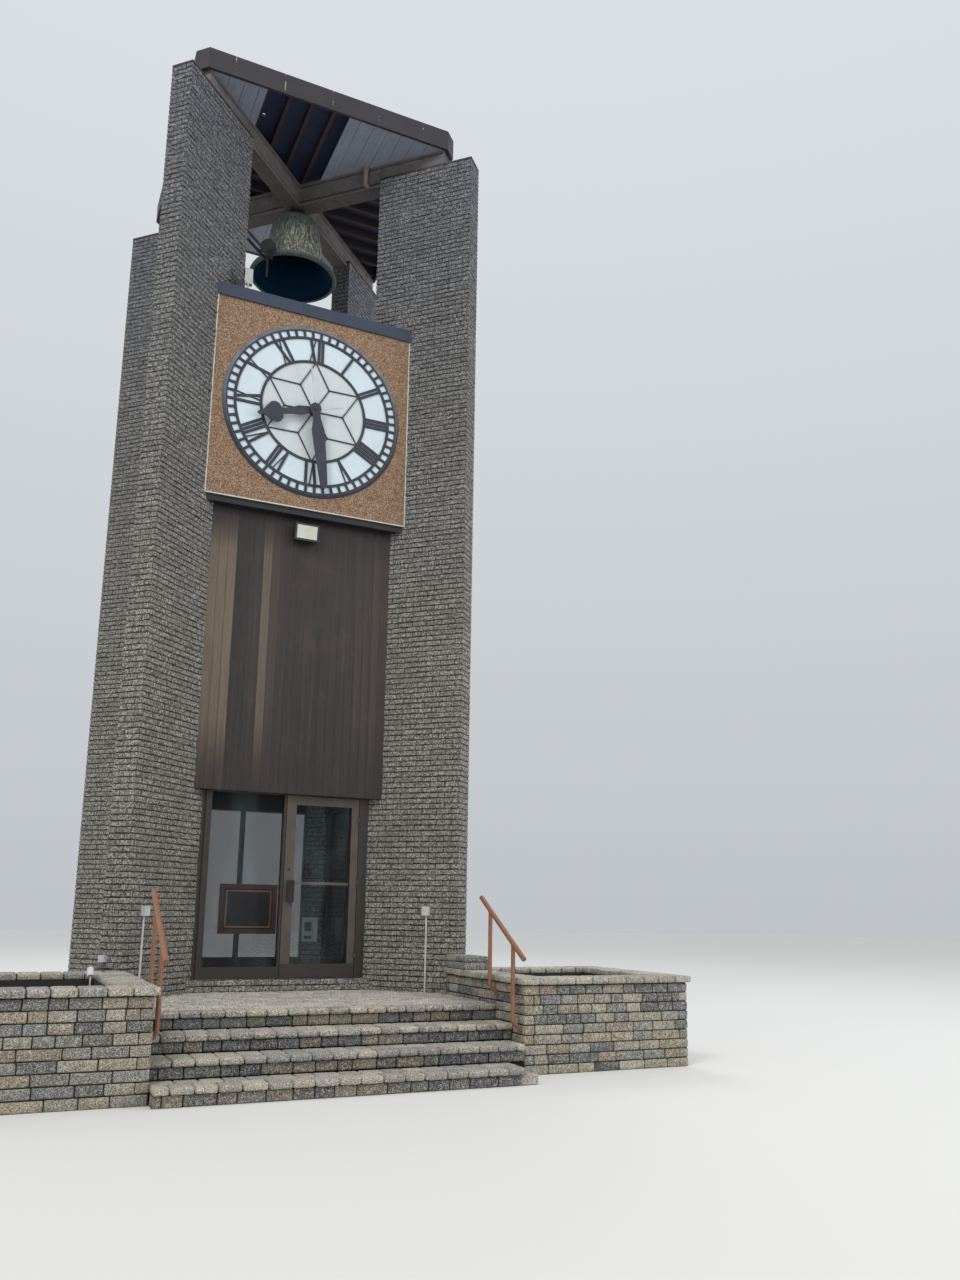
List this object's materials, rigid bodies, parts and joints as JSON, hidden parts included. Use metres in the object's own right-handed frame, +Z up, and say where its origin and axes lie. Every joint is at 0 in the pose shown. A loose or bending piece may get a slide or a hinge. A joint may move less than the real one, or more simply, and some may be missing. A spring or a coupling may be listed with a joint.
{
  "type": "clock tower",
  "caption": "Brick clock tower on four diagonal fin walls, with large dials, a glazed entrance, an open belfry with a bell, and block steps between planters.",
  "frame": {"origin": "centre of the tower's square plan, at street level at the foot of the steps", "axes": "+Z up, -Y out of the entrance front, +X to the right along the front"},
  "size_m": [7.741, 6.8855, 12.545],
  "materials": {
    "brick": "split-face brick",
    "split_block": "tumbled split block",
    "cap_metal": "dark brown",
    "aggregate": "exposed aggregate",
    "slate_metal": "satin",
    "white_trim": "satin",
    "black_metal": "satin",
    "dial_white": "opal",
    "dial_iron": "painted",
    "bronze_frame": "bronze anodised",
    "clear_glass": "clear",
    "concrete": "plain",
    "brown_steel": "matt",
    "bell_bronze": "green patina",
    "roof_metal": "streaked",
    "dark_wood": "rough",
    "grey_boards": "painted",
    "soil": "loose",
    "copper_paint": "worn gloss",
    "lamp_grey": "satin",
    "box_grey": "satin",
    "pipe_paint": "worn",
    "bronze_cladding": "ribbed bands",
    "brown_wood": "varnished",
    "white_paint": "satin"
  },
  "bodies": {
    "tower": {"pier_front_left": "brick", "pier_front_right": "brick", "pier_back_left": "brick", "pier_back_right": "brick", "pier_caps": "cap_metal", "clock_panels": "aggregate", "panel_flashings": "slate_metal", "panel_edge_strips": "white_trim", "panel_sills": "black_metal", "dial_glasses": "dial_white", "dial_skeletons": "dial_iron", "cladding_front": "bronze_cladding", "cladding_right": "bronze_cladding", "cladding_back": "bronze_cladding", "cladding_left": "bronze_cladding", "entrance_frame": "bronze_frame", "sidelight_glass": "clear_glass", "window_frames": "bronze_frame", "window_glass": "clear_glass", "sill_walls": "brick", "floor_slab": "concrete", "belfry_deck": "concrete", "crossing_beams": "brown_steel", "bell": "bell_bronze", "bell_hanger": "black_metal", "hammer_bracket": "black_metal", "roof_fascia": "roof_metal", "roof_deck": "roof_metal", "roof_joists": "dark_wood", "soffit_boards": "grey_boards", "soffit_pipe": "pipe_paint", "landing": "split_block", "steps": "split_block", "planter_left": "split_block", "planter_right": "split_block", "planter_soil": "soil", "handrail_left": "copper_paint", "handrail_right": "copper_paint", "floodlight": "lamp_grey", "junction_boxes": "box_grey", "display_board": "brown_wood", "meter_box": "white_paint", "planter_spotlight": "black_metal", "belfry_lamp": "box_grey"},
    "door": {"door_leaf": "bronze_frame", "door_glass": "clear_glass", "door_hardware": "black_metal"},
    "hammer": {"strike_hammer": "black_metal"},
    "minute_hand_front": {"minute_hand_front": "dial_iron"},
    "hour_hand_front": {"hour_hand_front": "dial_iron"},
    "minute_hand_right": {"minute_hand_right": "dial_iron"},
    "hour_hand_right": {"hour_hand_right": "dial_iron"},
    "minute_hand_back": {"minute_hand_back": "dial_iron"},
    "hour_hand_back": {"hour_hand_back": "dial_iron"},
    "minute_hand_left": {"minute_hand_left": "dial_iron"},
    "hour_hand_left": {"hour_hand_left": "dial_iron"}
  },
  "joints": [
    {"name": "door_hinge", "type": "hinge", "parent": "tower", "child": "door", "pos_m": [0.9115, -1.294, 0.8], "axis": [0, 0, 1], "range_deg": [0, 90]},
    {"name": "minute_turn_front", "type": "hinge", "parent": "tower", "child": "minute_hand_front", "pos_m": [0, -1.6, 7.955], "axis": [0, 1, 0], "continuous": true},
    {"name": "hour_turn_front", "type": "hinge", "parent": "tower", "child": "hour_hand_front", "pos_m": [0, -1.6, 7.955], "axis": [0, 1, 0], "continuous": true},
    {"name": "minute_turn_right", "type": "hinge", "parent": "tower", "child": "minute_hand_right", "pos_m": [1.6, 0, 7.955], "axis": [-1, 0, 0], "continuous": true},
    {"name": "hour_turn_right", "type": "hinge", "parent": "tower", "child": "hour_hand_right", "pos_m": [1.6, 0, 7.955], "axis": [-1, 0, 0], "continuous": true},
    {"name": "minute_turn_back", "type": "hinge", "parent": "tower", "child": "minute_hand_back", "pos_m": [0, 1.6, 7.955], "axis": [0, -1, 0], "continuous": true},
    {"name": "hour_turn_back", "type": "hinge", "parent": "tower", "child": "hour_hand_back", "pos_m": [0, 1.6, 7.955], "axis": [0, -1, 0], "continuous": true},
    {"name": "minute_turn_left", "type": "hinge", "parent": "tower", "child": "minute_hand_left", "pos_m": [-1.6, 0, 7.955], "axis": [1, 0, 0], "continuous": true},
    {"name": "hour_turn_left", "type": "hinge", "parent": "tower", "child": "hour_hand_left", "pos_m": [-1.6, 0, 7.955], "axis": [1, 0, 0], "continuous": true},
    {"name": "hammer_hinge", "type": "hinge", "parent": "tower", "child": "hammer", "pos_m": [-0.49568, -0.49568, 10.69], "axis": [0.7071, -0.7071, 0], "range_deg": [0, 12]}
  ],
  "couplings": [
    {"joint": "hour_turn_front", "follows": "minute_turn_front", "ratio": 0.083333},
    {"joint": "minute_turn_right", "follows": "minute_turn_front", "ratio": 1},
    {"joint": "hour_turn_right", "follows": "minute_turn_front", "ratio": 0.083333},
    {"joint": "minute_turn_back", "follows": "minute_turn_front", "ratio": 1},
    {"joint": "hour_turn_back", "follows": "minute_turn_front", "ratio": 0.083333},
    {"joint": "minute_turn_left", "follows": "minute_turn_front", "ratio": 1},
    {"joint": "hour_turn_left", "follows": "minute_turn_front", "ratio": 0.083333}
  ]
}
